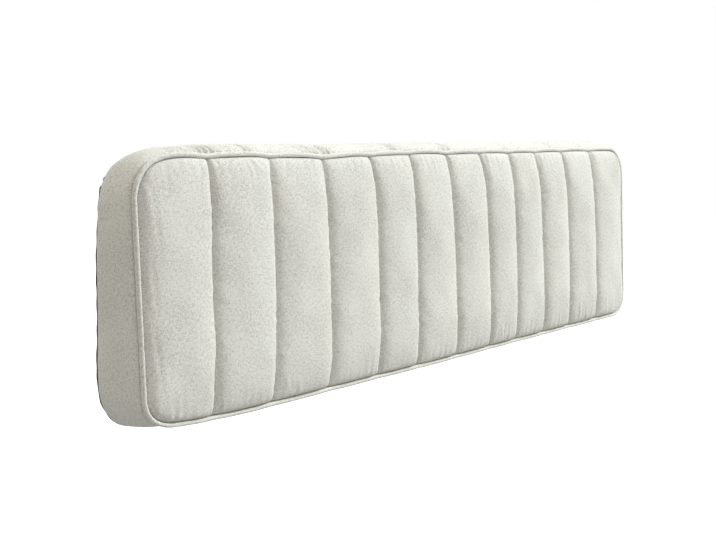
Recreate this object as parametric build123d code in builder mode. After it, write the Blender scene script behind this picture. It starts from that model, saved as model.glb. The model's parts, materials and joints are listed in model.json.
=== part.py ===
from build123d import *
import os
from math import cos, hypot, pi, radians, sin, sqrt

# Wall-hung upholstered headboard with a front of vertical sewn channels.
# Millimetres, +Z up, +X along the headboard, and the front faces -Y.
# The origin is on the wall's face, at the middle of the line of wall screws.

# Overall sizes, taken at the centre of the welt that edges the front
width = 1800.0
height = 462.0
depth_bottom = 125.5
depth_top = 94.5
hang_drop = 180.5

# Corner radii of the front and back outlines, and of the band's fullest line between them
front_top_radius = 75.0
front_bottom_radius = 60.0
back_top_radius = 97.0
back_bottom_radius = 70.0
middle_top_radius = 108.0
middle_bottom_radius = 71.0

# How far the padded band stands outside the front's outline at its fullest line
band_crown_top = 16.5
band_crown_side = 5.0
band_crown_bottom = 3.5

# The back outline beside the front's: higher, lower and narrower by these
back_rise = 1.5
back_drop = 6.5
back_narrow = 5.0

# Sewn channels. Each share moves one seam from its even place, in channel widths.
seam_shift_share = (0.10, 0.15, 0.20, 0.23, 0.17, 0.14, 0.12, -0.02, -0.15, -0.22, -0.19)
valley_rise = 9.0
valley_ramp = 100.0
crown_rise = 17.0
crown_ramp = 60.0
edge_crown = 1.5
corner_angles = (0, 12, 28, 48, 68, 90)
after_corner_share = 0.3

# Cloth, welt and foam
cover_thickness = 1.5
boxing_thickness = 2.0
return_width = 34.0
return_thickness = 1.5
dust_cover_thickness = 0.8
dust_cover_inset = 5.0
welt_diameter = 9.0
welt_cord_diameter = 5.4
channel_base = 6.0
core_thickness = 25.0
edge_padding_thickness = 22.0
soft_gap = 0.3
cover_seam_gap = 0.2
pad_seam_gap = 0.8

# Timber frame and face panel
panel_thickness = 12.0
timber = 45.0
top_block_size = 76.0
bottom_block_size = 56.0
hanging_timber_height = 60.0
hanging_timber_thickness = 18.0
notch_clearance = 0.2
middle_stile_share = (-0.5, 0.0, 0.5)

# Interlocking hanging rails, both of one bent section
rail_length = 1200.0
rail_thickness = 2.5
rail_play = 0.5
rail_flange = 32.0
rail_lip = 18.0
rail_seat_gap = 0.2
rail_tip_clearance = 1.0
wall_hole_count = 4
wall_hole_margin = 45.0
wall_hole_diameter = 5.5
board_screw_count = 5
board_screw_margin = 40.0

# Countersunk wood screws
screw_shank_diameter = 4.0
screw_head_diameter = 7.6
screw_head_depth = 2.0
screw_point = 5.0
screw_clearance = 0.15
board_screw_length = 16.0
frame_screw_length = 80.0
hanging_screw_length = 40.0
panel_screw_length = 35.0
bumper_screw_length = 25.0
panel_screw_count = 7

# Rubber bumpers that keep the lower edge off the wall
bumper_diameter = 30.0
bumper_inset = 110.0
bumper_round = 1.5
bumper_recess = 3.0

# Places worked out from the sizes above
wall_gap = 2 * rail_thickness + 3 * rail_play
top = hang_drop
bottom = top - height
lean = depth_bottom - depth_top
slope = hypot(height, lean)
half_width = width / 2
welt_radius = welt_diameter / 2
welt_set = welt_radius + soft_gap
channel_count = len(seam_shift_share) + 1
pitch = width / channel_count
core_back = channel_base + core_thickness
panel_back = core_back + panel_thickness
return_back = wall_gap + dust_cover_thickness
timber_back = return_back + return_thickness
frame_half_width = half_width - back_narrow - edge_padding_thickness
frame_low = bottom - back_drop + edge_padding_thickness
frame_high = top + back_rise - edge_padding_thickness
flange_half = rail_flange / 2
wall_lip_top = flange_half + rail_lip
board_jog_low = wall_lip_top + rail_seat_gap
board_screw_height = board_jog_low + flange_half
wall_hole_spacing = (rail_length - 2 * wall_hole_margin) / (wall_hole_count - 1)
board_screw_spacing = (rail_length - 2 * board_screw_margin) / (board_screw_count - 1)


def leaning_plane(depth_share):
    """Plane across the headboard, at a share of its depth from the back, with local Y up its slope."""
    origin = (0, -wall_gap - depth_bottom * depth_share, bottom)
    return Plane(origin=origin, x_dir=(1, 0, 0), z_dir=(0, -height, lean * depth_share))


def upright_plane(distance):
    """Plane parallel to the wall at this distance from it, facing the room, with local Y as Z."""
    return Plane.XZ.offset(distance)


def wall_side_plane(place, distance, level):
    """Plane parallel to the wall that faces it, for what is screwed on from behind."""
    return Plane(origin=(place, -distance, level), x_dir=(-1, 0, 0), z_dir=(0, 1, 0))


face_plane = leaning_plane(1)
core_back_plane = face_plane.offset(-core_back)
panel_back_plane = face_plane.offset(-panel_back)


def face_distance(level, behind):
    """Distance from the wall to the plane this far behind the face, at a level."""
    return wall_gap + depth_bottom - lean * (level - bottom) / height - behind * slope / height


def outline(half, low, high, low_radius, high_radius):
    """Closed outline with four rounded corners, in a sketch's own X and Y."""
    corners = ((-half, low), (half, low), (half, high), (-half, high))
    with BuildSketch(Plane.XY) as shape:
        with BuildLine():
            FilletPolyline(*corners, radius=(low_radius, low_radius, high_radius, high_radius), close=True)
        make_face()
    return shape.sketch


def back_outline(inset):
    """Outline of the back, drawn in by the inset."""
    return outline(
        half_width - back_narrow - inset,
        bottom - back_drop + inset,
        top + back_rise - inset,
        back_bottom_radius - inset,
        back_top_radius - inset,
    )


def band_form(inset, back_distance):
    """Solid inside the padded band: three outlines from the welt to the back, drawn in by the inset."""
    front = outline(
        half_width - inset,
        inset,
        slope - inset,
        front_bottom_radius - inset,
        front_top_radius - inset,
    )
    middle = outline(
        half_width + band_crown_side - inset,
        inset - band_crown_bottom,
        hypot(height, lean / 2) + band_crown_top - inset,
        middle_bottom_radius - inset,
        middle_top_radius - inset,
    )
    with BuildPart() as form:
        with BuildSketch(face_plane.offset(-welt_set)):
            add(front)
        with BuildSketch(leaning_plane(0.5)):
            add(middle)
        with BuildSketch(upright_plane(back_distance)):
            add(back_outline(inset))
        loft()
    return form.part


def frame_form(grow):
    """Block of the timber frame and its face panel: an upright prism up to the foam's leaning back."""
    with BuildPart() as form:
        with BuildSketch(upright_plane(timber_back)):
            add(back_outline(edge_padding_thickness - grow))
        extrude(amount=depth_bottom)
    return form.part


def ramp_share(distance, ramp):
    """How far along its ramp a place is, from 0 at the welt to 1 where the ramp ends."""
    return max(0, min(distance / ramp, 1))


def ease(distance, ramp):
    """How much of its full height a form has reached at this distance from the welt."""
    return sin(pi / 2 * ramp_share(distance, ramp))


def round_ease(distance, ramp):
    """The same for a fuller form, with a quarter circle's steep start."""
    return sqrt(1 - (1 - ramp_share(distance, ramp)) ** 2)


def stations():
    """Rise along the face and half width of the cover, from the bottom welt up, round the corners."""
    low_radius = front_bottom_radius - welt_set
    high_radius = front_top_radius - welt_set
    cover_half = half_width - welt_set
    places = []
    for angle in corner_angles:
        turn = radians(angle)
        places.append((welt_set + low_radius * (1 - cos(turn)), cover_half - low_radius * (1 - sin(turn))))
    places.append((welt_set + low_radius * (1 + after_corner_share), cover_half))
    places.append((welt_set + valley_ramp, cover_half))
    places.append((slope / 2, cover_half))
    places.append((slope - welt_set - high_radius * (1 + after_corner_share), cover_half))
    for angle in reversed(corner_angles):
        turn = radians(angle)
        rise = slope - welt_set - high_radius * (1 - cos(turn))
        places.append((rise, cover_half - high_radius * (1 - sin(turn))))
    return places


def seam_place(index):
    """Place along X of a seam, counted from the left end's welt."""
    shift = seam_shift_share[index - 1] if 0 < index < channel_count else 0
    return -half_width + pitch * (index + shift)


def channel_section(index, rise, cover_half, sink, side_gap):
    """Left and right ends and crest of a channel's outer line at one station, sunk below the cloth."""
    distance = min(rise, slope - rise) - welt_set
    valley = valley_rise * ease(distance, valley_ramp)
    crown = edge_crown + (crown_rise - edge_crown) * round_ease(distance, crown_ramp)
    left = max(seam_place(index - 1), -cover_half)
    right = min(seam_place(index), cover_half)
    left_height = 0 if index == 1 else valley
    right_height = 0 if index == channel_count else valley
    crest = ((left + right) / 2, (left_height + right_height) / 2 + crown - sink)
    return (left + side_gap, left_height - sink), crest, (right - side_gap, right_height - sink)


def station_plane(rise):
    """Plane square to the face's slope, at this rise, with local Y out of the face."""
    origin = face_plane.from_local_coords((0, rise, 0))
    return Plane(origin=origin, x_dir=(1, 0, 0), z_dir=-face_plane.y_dir)


def channel_cover(index):
    """One sewn strip of the front's cloth, bowed from seam to seam."""
    with BuildPart() as strip:
        for rise, cover_half in stations():
            top_line = channel_section(index, rise, cover_half, 0, cover_seam_gap / 2)
            under_line = channel_section(index, rise, cover_half, cover_thickness, cover_seam_gap / 2)
            left, crest, right = top_line
            under_left, under_crest, under_right = under_line
            with BuildSketch(station_plane(rise)):
                with BuildLine():
                    ThreePointArc(left, crest, right)
                    Line(right, under_right)
                    ThreePointArc(under_right, under_crest, under_left)
                    Line(under_left, left)
                make_face()
        loft()
    return strip.part


def channel_pad(index):
    """The soft filling of one channel, flat where it lies on the foam."""
    with BuildPart() as pad:
        for rise, cover_half in stations():
            sink = cover_thickness + soft_gap
            left, crest, right = channel_section(index, rise, cover_half, sink, pad_seam_gap / 2)
            base_left = (left[0], -channel_base)
            base_right = (right[0], -channel_base)
            with BuildSketch(station_plane(rise)):
                with BuildLine():
                    ThreePointArc(left, crest, right)
                    Line(right, base_right)
                    Line(base_right, base_left)
                    Line(base_left, left)
                make_face()
        loft()
    return pad.part


def wood_screw(length, clearance=0):
    """Countersunk screw along -Z with its head level with the origin, or the hole for it."""
    head = screw_head_diameter / 2 + clearance
    shank = screw_shank_diameter / 2 + clearance
    reach = length + clearance
    profile = ((0, 0), (head, 0), (shank, -screw_head_depth), (shank, screw_point - reach), (0, -reach))
    with BuildPart() as screw:
        with BuildSketch(Plane.XZ):
            with BuildLine():
                Polyline(*profile, close=True)
            make_face()
        revolve(axis=Axis.Z)
    return screw.part


def screw_group(places, length, clearance=0):
    """Separate screws, or their holes, at each of the places."""
    screw = wood_screw(length, clearance)
    with BuildPart() as group:
        with Locations(*places):
            add(screw)
    return group.part


def spread(count, spacing):
    """Evenly spaced offsets about the middle."""
    return [spacing * (step - (count - 1) / 2) for step in range(count)]


# Inner forms that several pieces are cut from
band_outer = band_form(0, return_back)
band_inner = band_form(boxing_thickness, timber_back)
band_padding = band_form(boxing_thickness + soft_gap, timber_back)
frame_block = frame_form(0)

# Places of the screws
middle_stile_places = [frame_half_width * share for share in middle_stile_share]
top_screw_distance = (timber_back + face_distance(frame_high, panel_back)) / 2
bottom_screw_distance = (timber_back + face_distance(frame_low, panel_back)) / 2
frame_screw_places = []
hanging_screw_places = []
for place in middle_stile_places:
    down = Plane(origin=(place, -top_screw_distance, frame_high), x_dir=(1, 0, 0), z_dir=(0, 0, 1))
    up = Plane(origin=(place, -bottom_screw_distance, frame_low), x_dir=(1, 0, 0), z_dir=(0, 0, -1))
    frame_screw_places += [down, up]
    for side in (-1, 1):
        offset = side * timber / 4
        spot = wall_side_plane(place + offset, timber_back, board_screw_height - offset)
        hanging_screw_places.append(spot)
panel_screw_span = 2 * (frame_half_width - top_block_size)
panel_screw_places = []
for offset_x in spread(panel_screw_count, panel_screw_span / panel_screw_count):
    for level in (frame_low + timber / 2, frame_high - timber / 2):
        distance = face_distance(level, core_back)
        spot = Plane(origin=(offset_x, -distance, level), x_dir=(1, 0, 0), z_dir=face_plane.z_dir)
        panel_screw_places.append(spot)
board_rail_face = wall_gap - rail_thickness
board_screw_places = []
for offset_x in spread(board_screw_count, board_screw_spacing):
    board_screw_places.append(wall_side_plane(offset_x, board_rail_face, board_screw_height))
bumper_level = frame_low + timber / 2
bumper_offset = frame_half_width - bumper_inset
bumper_places = [(-bumper_offset, bumper_level), (bumper_offset, bumper_level)]
bumper_screw_places = [wall_side_plane(across, bumper_recess, level) for across, level in bumper_places]

finished = {}

# Hanging rails: a screw flange, a jog and a lip each, one the other turned over
with BuildPart() as wall_rail:
    with BuildSketch(Plane.YZ.offset(-rail_length / 2)):
        with BuildLine():
            Polyline(
                (0, -flange_half),
                (0, flange_half),
                (-rail_thickness - 2 * rail_play, flange_half),
                (-rail_thickness - 2 * rail_play, wall_lip_top),
                (-2 * rail_thickness - 2 * rail_play, wall_lip_top),
                (-2 * rail_thickness - 2 * rail_play, flange_half - rail_thickness),
                (-rail_thickness, flange_half - rail_thickness),
                (-rail_thickness, -flange_half),
                close=True,
            )
        make_face()
    extrude(amount=rail_length)
    with BuildSketch(upright_plane(0)):
        with GridLocations(wall_hole_spacing, 1, wall_hole_count, 1):
            Circle(wall_hole_diameter / 2)
    extrude(amount=rail_thickness, mode=Mode.SUBTRACT)
finished["wall_rail"] = wall_rail

board_flange_high = board_jog_low + rail_flange
board_lip_low = flange_half + rail_tip_clearance
with BuildPart() as board_rail:
    with BuildSketch(Plane.YZ.offset(-rail_length / 2)):
        with BuildLine():
            Polyline(
                (-wall_gap, board_flange_high),
                (-wall_gap, board_jog_low),
                (-rail_play - rail_thickness, board_jog_low),
                (-rail_play - rail_thickness, board_lip_low),
                (-rail_play, board_lip_low),
                (-rail_play, board_jog_low + rail_thickness),
                (-board_rail_face, board_jog_low + rail_thickness),
                (-board_rail_face, board_flange_high),
                close=True,
            )
        make_face()
    extrude(amount=rail_length)
    add(screw_group(board_screw_places, board_screw_length, screw_clearance), mode=Mode.SUBTRACT)
finished["board_rail"] = board_rail

with BuildPart() as board_rail_screws:
    add(screw_group(board_screw_places, board_screw_length))
finished["board_rail_screws"] = board_rail_screws

# Face panel and timbers, all cut from one leaning block
with BuildPart() as face_panel:
    add(frame_block)
    split(bisect_by=core_back_plane, keep=Keep.BOTTOM)
    split(bisect_by=panel_back_plane, keep=Keep.TOP)
    add(screw_group(panel_screw_places, panel_screw_length, screw_clearance), mode=Mode.SUBTRACT)
finished["face_panel"] = face_panel

with BuildPart() as timber_block:
    add(frame_block)
    split(bisect_by=panel_back_plane, keep=Keep.BOTTOM)

screw_holes = Compound(
    children=[
        screw_group(frame_screw_places, frame_screw_length, screw_clearance),
        screw_group(hanging_screw_places, hanging_screw_length, screw_clearance),
        screw_group(panel_screw_places, panel_screw_length, screw_clearance),
        screw_group(board_screw_places, board_screw_length, screw_clearance),
        screw_group(bumper_screw_places, bumper_screw_length, screw_clearance),
    ]
)
hanging_low = board_screw_height - hanging_timber_height / 2
hanging_high = board_screw_height + hanging_timber_height / 2
stile_low = frame_low + bottom_block_size
stile_high = frame_high - top_block_size
stile_inner = frame_half_width - timber


def timber_piece(left, right, low, high, depth=depth_bottom, grow=0):
    """Part of the timber block within these limits, less deep where it is a board at the back."""
    with BuildPart() as piece:
        add(timber_block.part)
        with BuildSketch(upright_plane(timber_back)):
            with Locations(((left + right) / 2, (low + high) / 2)):
                Rectangle(right - left + 2 * grow, high - low + 2 * grow)
        extrude(amount=depth + grow, mode=Mode.INTERSECT)
    return piece.part


top_inner = frame_half_width - top_block_size
bottom_inner = frame_half_width - bottom_block_size
timber_limits = {
    "top_rail": (-top_inner, top_inner, frame_high - timber, frame_high),
    "bottom_rail": (-bottom_inner, bottom_inner, frame_low, frame_low + timber),
    "left_stile": (-frame_half_width, -stile_inner, stile_low, stile_high),
    "right_stile": (stile_inner, frame_half_width, stile_low, stile_high),
    "corner_block_top_left": (-frame_half_width, -top_inner, stile_high, frame_high),
    "corner_block_top_right": (top_inner, frame_half_width, stile_high, frame_high),
    "corner_block_bottom_left": (-frame_half_width, -bottom_inner, frame_low, stile_low),
    "corner_block_bottom_right": (bottom_inner, frame_half_width, frame_low, stile_low),
}
for name, limits in timber_limits.items():
    with BuildPart() as timber_part:
        add(timber_piece(*limits))
        add(screw_holes, mode=Mode.SUBTRACT)
    finished[name] = timber_part

with BuildPart() as hanging_rail:
    add(timber_piece(-stile_inner, stile_inner, hanging_low, hanging_high, hanging_timber_thickness))
    add(screw_holes, mode=Mode.SUBTRACT)
finished["hanging_rail"] = hanging_rail

hanging_limits = (-stile_inner, stile_inner, hanging_low, hanging_high, hanging_timber_thickness)
notch = timber_piece(*hanging_limits, grow=notch_clearance)
for number, place in enumerate(middle_stile_places, 1):
    left = place - timber / 2
    with BuildPart() as middle_stile:
        add(timber_piece(left, left + timber, frame_low + timber, frame_high - timber))
        add(notch, mode=Mode.SUBTRACT)
        add(screw_holes, mode=Mode.SUBTRACT)
    finished[f"middle_stile_{number}"] = middle_stile

with BuildPart() as frame_screws:
    add(screw_group(frame_screw_places, frame_screw_length))
finished["frame_screws"] = frame_screws

with BuildPart() as hanging_rail_screws:
    add(screw_group(hanging_screw_places, hanging_screw_length))
finished["hanging_rail_screws"] = hanging_rail_screws

with BuildPart() as panel_screws:
    add(screw_group(panel_screw_places, panel_screw_length))
finished["panel_screws"] = panel_screws

# Foam over the face panel, and the padding that fills the band round the frame
with BuildPart() as foam_core:
    add(band_padding)
    split(bisect_by=face_plane.offset(-channel_base), keep=Keep.BOTTOM)
    split(bisect_by=core_back_plane, keep=Keep.TOP)
finished["foam_core"] = foam_core

with BuildPart() as edge_padding:
    add(band_padding)
    split(bisect_by=core_back_plane, keep=Keep.BOTTOM)
    add(frame_form(soft_gap), mode=Mode.SUBTRACT)
finished["edge_padding"] = edge_padding

for index in range(1, channel_count + 1):
    with BuildPart() as pad:
        add(channel_pad(index))
    finished[f"channel_pad_{index:02d}"] = pad
    with BuildPart() as strip:
        add(channel_cover(index))
    finished[f"channel_cover_{index:02d}"] = strip

# Boxing: the band of cloth all round, turned in over the back of the frame
with BuildPart() as boxing:
    add(band_outer)
    add(band_inner, mode=Mode.SUBTRACT)
    with BuildSketch(upright_plane(return_back)):
        add(back_outline(return_width))
    extrude(amount=return_thickness, mode=Mode.SUBTRACT)
finished["boxing"] = boxing

# Welt: a cord in a sleeve of the same cloth, round the front's outline
def welt_form(diameter):
    """Closed round rope of this diameter along the front's outline."""
    with BuildPart() as rope:
        with BuildLine(face_plane) as route:
            FilletPolyline(
                (-half_width, 0),
                (half_width, 0),
                (half_width, slope),
                (-half_width, slope),
                radius=(front_bottom_radius, front_bottom_radius, front_top_radius, front_top_radius),
                close=True,
            )
        start = route.wires()[0]
        with BuildSketch(Plane(origin=start @ 0, z_dir=start % 0)):
            Circle(diameter / 2)
        sweep(path=start)
    return rope.part


with BuildPart() as welt_cord:
    add(welt_form(welt_cord_diameter))
finished["welt_cord"] = welt_cord

with BuildPart() as welt_sleeve:
    add(welt_form(welt_diameter))
    add(welt_form(welt_cord_diameter + 2 * soft_gap), mode=Mode.SUBTRACT)
finished["welt_sleeve"] = welt_sleeve

# Dust cover over the back, let down inside the boxing's return
with BuildPart() as dust_cover:
    with BuildSketch(upright_plane(wall_gap)):
        add(back_outline(dust_cover_inset))
    extrude(amount=dust_cover_thickness)
    with BuildSketch(upright_plane(return_back)):
        add(back_outline(return_width))
    extrude(amount=return_thickness)
    add(screw_holes, mode=Mode.SUBTRACT)
finished["dust_cover"] = dust_cover

# Bumpers on the lower corners of the back
with BuildPart() as bumpers:
    with BuildSketch(upright_plane(0)):
        with Locations(*bumper_places):
            Circle(bumper_diameter / 2)
    extrude(amount=wall_gap)
    fillet(bumpers.faces().filter_by(Axis.Y).group_by(Axis.Y)[-1].edges(), bumper_round)
    with BuildSketch(upright_plane(0)):
        with Locations(*bumper_places):
            Circle(screw_head_diameter / 2 + screw_clearance)
    extrude(amount=bumper_recess, mode=Mode.SUBTRACT)
    add(screw_group(bumper_screw_places, bumper_screw_length, screw_clearance), mode=Mode.SUBTRACT)
finished["bumpers"] = bumpers

with BuildPart() as bumper_screws:
    add(screw_group(bumper_screw_places, bumper_screw_length))
finished["bumper_screws"] = bumper_screws

os.makedirs("parts", exist_ok=True)
for name, piece in finished.items():
    piece.part.label = name
    export_step(piece.part, f"parts/{name}.step")
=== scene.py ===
import json
from math import cos, hypot, pi, radians, sin

import bmesh
import bpy
import numpy as np
from mathutils import Matrix, Vector

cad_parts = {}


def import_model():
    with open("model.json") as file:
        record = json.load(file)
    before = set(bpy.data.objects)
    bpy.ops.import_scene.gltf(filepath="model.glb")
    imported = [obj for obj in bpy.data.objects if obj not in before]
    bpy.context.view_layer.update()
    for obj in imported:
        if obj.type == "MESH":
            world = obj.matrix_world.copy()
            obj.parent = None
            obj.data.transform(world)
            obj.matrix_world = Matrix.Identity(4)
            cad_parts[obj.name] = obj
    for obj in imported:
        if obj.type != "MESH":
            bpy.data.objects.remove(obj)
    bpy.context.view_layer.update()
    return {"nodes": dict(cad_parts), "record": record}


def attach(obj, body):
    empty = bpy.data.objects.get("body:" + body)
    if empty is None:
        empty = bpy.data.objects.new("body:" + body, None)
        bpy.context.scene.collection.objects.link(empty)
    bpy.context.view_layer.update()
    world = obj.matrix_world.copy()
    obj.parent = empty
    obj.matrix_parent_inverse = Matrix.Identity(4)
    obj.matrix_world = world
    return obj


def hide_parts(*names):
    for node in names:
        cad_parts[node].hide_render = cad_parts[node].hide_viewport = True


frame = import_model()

# The CAD part's driving sizes, in metres, in its own frame: the origin is on the wall's face
width = 1.8
height = 0.462
depth_bottom = 0.1255
lean = 0.031
bottom = -0.2815
wall_gap = 0.0065
front_top_radius = 0.075
front_bottom_radius = 0.06
middle_top_radius = 0.108
middle_bottom_radius = 0.071
back_top_radius = 0.097
back_bottom_radius = 0.07
band_crown_top = 0.0165
band_crown_side = 0.005
band_crown_bottom = 0.0035
back_rise = 0.0015
back_drop = 0.0065
back_narrow = 0.005
welt_radius = 0.0045
welt_set = 0.0048
channel_base = 0.006
core_thickness = 0.025
edge_padding_thickness = 0.022
dust_cover_thickness = 0.0008
valley_rise = 0.009
valley_ramp = 0.1
crown_rise = 0.0145
edge_crown = 0.0015
seam_shift_share = (0.10, 0.15, 0.20, 0.23, 0.17, 0.14, 0.12, -0.02, -0.15, -0.22, -0.19)

# How far each seam strays from its even place, in millimetres along X at eight even steps
# from the bottom welt to the top, read from the photograph
seam_stray = (
    (-7.6, -6.6, -0.5, -1.5, -0.3, 2.2, 5.0, 5.0),
    (-7.6, -4.7, 0.6, 4.5, 6.6, 6.2, 4.6, 8.1),
    (1.0, 4.3, 6.0, 7.8, 8.1, 6.9, 3.5, 4.2),
    (5.3, 8.6, 10.2, 12.0, 12.2, 11.7, 7.8, 1.2),
    (6.6, 5.1, 5.9, 9.0, 8.4, 7.6, 3.5, 1.0),
    (14.9, 13.1, 12.2, 12.4, 10.4, 6.8, -1.0, -5.0),
    (11.2, 8.9, 8.5, 8.5, 6.3, 3.3, -3.5, -12.3),
    (2.1, 0.3, 2.6, 3.9, 2.9, -0.9, -7.3, -9.9),
    (9.0, 6.4, 4.9, 4.0, 1.8, -2.9, -10.6, -18.2),
    (2.8, -0.6, 0.8, 2.0, -0.2, -4.5, -12.4, -16.0),
    (2.3, -0.7, -0.2, 0.2, -2.0, -6.6, -15.3, -18.3),
)

# How far the front's top and bottom edges wander up (+) or down, in millimetres at places along X
top_drift = (
    (-0.9, 0), (-0.861, -0.3), (-0.839, -1.5), (-0.82, 1.7), (-0.798, 3.2), (-0.77, 3.0), (-0.739, 1.6),
    (-0.677, 1.8), (-0.612, 2.1), (-0.58, 0.9), (-0.544, -0.7), (-0.472, -2.1), (-0.397, -4.8), (-0.359, -3.8),
    (-0.317, -1.7), (-0.234, -1.5), (-0.145, -0.4), (-0.12, 1.1), (-0.052, 0.9), (0.048, -2.0), (0.153, -0.4),
    (0.265, -1.7), (0.384, -1.7), (0.511, -1.5), (0.648, -1.1), (0.794, -2.3), (0.9, -2.0),
)
bottom_drift = (
    (-0.9, 5.0), (-0.873, 10.5), (-0.858, 11.8), (-0.839, 10.2), (-0.818, 8.0), (-0.787, 5.8), (-0.761, 4.2),
    (-0.7, 2.2), (-0.637, 0.8), (-0.571, 0.5), (-0.426, 0.2), (-0.35, 0), (-0.269, -0.4), (-0.184, -1.0),
    (-0.094, -1.6), (0.004, -1.7), (0.105, -1.2), (0.325, -0.8), (0.579, -1.0), (0.821, -1.1), (0.9, -0.6),
)

# How far the band's cloth and the dust cloth behind it reach past the back's outline at the left end,
# in millimetres at heights Z, read from the photograph
band_reach = (
    (-0.288, 6.0), (-0.28, 5.0), (-0.27, 2.4), (-0.25, 1.1), (-0.23, 1.1), (-0.218, 2.2), (-0.195, 3.6),
    (-0.171, 4.2), (-0.148, 3.4), (-0.1, 2.8), (-0.055, 3.2), (-0.008, 4.0), (0.015, 4.0), (0.038, 2.9),
    (0.062, 1.6), (0.085, -0.1), (0.11, 0.2), (0.126, 2.2), (0.14, 3.0), (0.155, 3.2), (0.165, 1.0), (0.172, 0),
)
dust_reach = (
    (-0.288, 5.4), (-0.284, 5.2), (-0.28, 4.3), (-0.275, 2.5), (-0.269, 1.3), (-0.262, 0.3), (-0.246, -0.1),
    (-0.237, -0.6), (-0.2275, -0.2), (-0.218, 1.0), (-0.195, 2.9), (-0.171, 3.8), (-0.148, 2.5), (-0.125, 1.9),
    (-0.1, 1.5), (-0.055, 2.0), (-0.0315, 2.4), (-0.008, 2.6), (0.015, 2.4), (0.038, 1.0), (0.062, -0.4),
    (0.085, -2.4), (0.105, -2.2), (0.112, -0.8), (0.118, 1.0), (0.126, 2.2), (0.131, -1), (0.136, -1),
    (0.1405, 3.4), (0.145, -1), (0.155, -3.2),
)
reach_fade_start = -0.8
reach_fade_end = -0.66

# Cloth details that only the visual model has
cloth_thickness = 0.0012
dust_cloth_thickness = 0.0003
thread = 0.0015
thread_stray = 0.0011
plywood_layer = 0.0026
strip_columns = 45
cloth_per_pitch = 1.04
round_power = 2.4
tight_power = 9.0
tight_share = 0.42
roll_share = 0.42
roll_length = 0.0018
plump_length = 0.018
seam_crease_depth = 0.003
seam_crease_width = 0.0035
seam_crease_power = 1.3
seam_allowance = 0.008
seam_gap = 0.0004
allowance_clearance = 0.0015
allowance_least = 0.0003
splice_level = -0.131
welt_tuck_depth = 0.0065
welt_tuck_width = 0.0026
welt_columns = 16
welt_dips = ((-0.0022, 1), (0.0008, 0))    # at each seam's end, at the top (1) and at the bottom (0)
welt_dip_reach = 0.028
filling_unevenness = 0.0007
filling_start = 0.02
seam_pucker_height = 0.00112
seam_pucker_start = 0.002
seam_pucker_end = 0.012
welt_pucker_height = 0.00154
welt_pucker_start = 0.003
welt_pucker_end = 0.02
fold_start = 0.004
cloth_above_foam = 0.0008
pad_clearance = 0.0012
pad_seam_clearance = 0.002
pad_least_height = 0.001
foam_gap = 0.0003
foam_rounding = 0.0015
foam_inset = 0.0056
slab_insets = (0.0135, 0.011, 0.0075)
edge_foam_back_inset = 0.0095
edge_foam_back_gap = 0.005
edge_foam_gap = 0.0004
frame_clearance = 0.0006
return_width = 0.034
back_edge_radius = 0.006
dust_gap = 0.0005
dust_level = -0.00036
dust_insets = (0.0032, 0.0036, 0.008, 0.0135, 0.0165, 0.0195, 0.028, 0.045, 0.07, 0.11, 0.16)
dust_edge_reach = 0.02
dust_scallop = 0.0006
dust_fold = 0.00022
dust_sag = 0.00018
dust_reach_fade = 0.004
hem_start = 0.004
hem_end = 0.015
hem_height = 0.00025
staple_spacing = 0.042
staple_inset = 0.0105
drift_depth = 0.05
drift_reach = 0.3
beyond = 9.0    # further away than any edge of the front

# Cloth simulation of the strips; the caps are along X, up the face and out of it
blow_rows = 89
blow_columns = 29
blow_frames = 20
blow_pressure = 4.0
blow_stiffness = 4.0
blow_slack_middle = 0.0015
blow_slack_edge = 0.012
blow_reach = 0.06
blow_end_rows = 12
blow_end_reach = 0.02
blow_cap_in = (-0.0015, -0.0015, -0.0015)
blow_cap_out = (0.0015, 0.0015, 0.0022)

slope = hypot(height, lean)
half_width = width / 2
channel_count = len(seam_shift_share) + 1
pitch = width / channel_count
face_origin = np.array((0, -wall_gap - depth_bottom, bottom))
face_up = np.array((0, lean, height)) / slope
face_out = np.array((0, -height, lean)) / slope
across_axis = np.array((1.0, 0, 0))


def on_face(x, rise, out):
    """Points in the frame from places along X, up the face's slope and out of the face."""
    x, rise, out = np.broadcast_arrays(x, rise, out)
    return face_origin + x[..., None] * across_axis + rise[..., None] * face_up + out[..., None] * face_out


def waves(seed, count, shortest, longest):
    """A smooth random field of two coordinates, about -1 to 1, the same at each run."""
    rng = np.random.default_rng(seed)
    turn = rng.uniform(0, pi, count)
    length = rng.uniform(shortest, longest, count)
    phase = rng.uniform(0, 2 * pi, count)

    def field(x, y):
        total = 0
        for angle, wave, start in zip(turn, length, phase):
            total = total + np.sin(2 * pi * (x * cos(angle) + y * sin(angle)) / wave + start)
        return total / np.sqrt(count)

    return field


def curve_shares(places, count):
    """Rows of weights that draw a smooth curve through evenly spaced values, at places from 0 to count - 1."""
    places = np.clip(places, 0, count - 1)
    start = np.minimum(places.astype(int), count - 2)
    t = places - start
    parts = (
        -0.5 * t + t**2 - 0.5 * t**3,
        1 - 2.5 * t**2 + 1.5 * t**3,
        0.5 * t + 2 * t**2 - 1.5 * t**3,
        -0.5 * t**2 + 0.5 * t**3,
    )
    shares = np.zeros((len(places), count))
    for step, part in enumerate(parts):
        np.add.at(shares, (np.arange(len(places)), np.clip(start + step - 1, 0, count - 1)), part)
    return shares


def drift(table, x):
    """How far an edge has wandered at places along X, in metres."""
    spots, moves = np.array(table).T
    fine = np.linspace(-half_width, half_width, 361)
    level = np.interp(fine, spots, moves)
    padded = np.concatenate([level[:1].repeat(3), level, level[-1:].repeat(3)])
    soft = np.convolve(padded, np.array((1, 3, 5, 6, 5, 3, 1)) / 24, "valid")
    return 0.001 * np.interp(x, fine, soft)


def smooth(share):
    """A share from 0 to 1 that starts and ends softly."""
    return share**2 * (3 - 2 * share)


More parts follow.
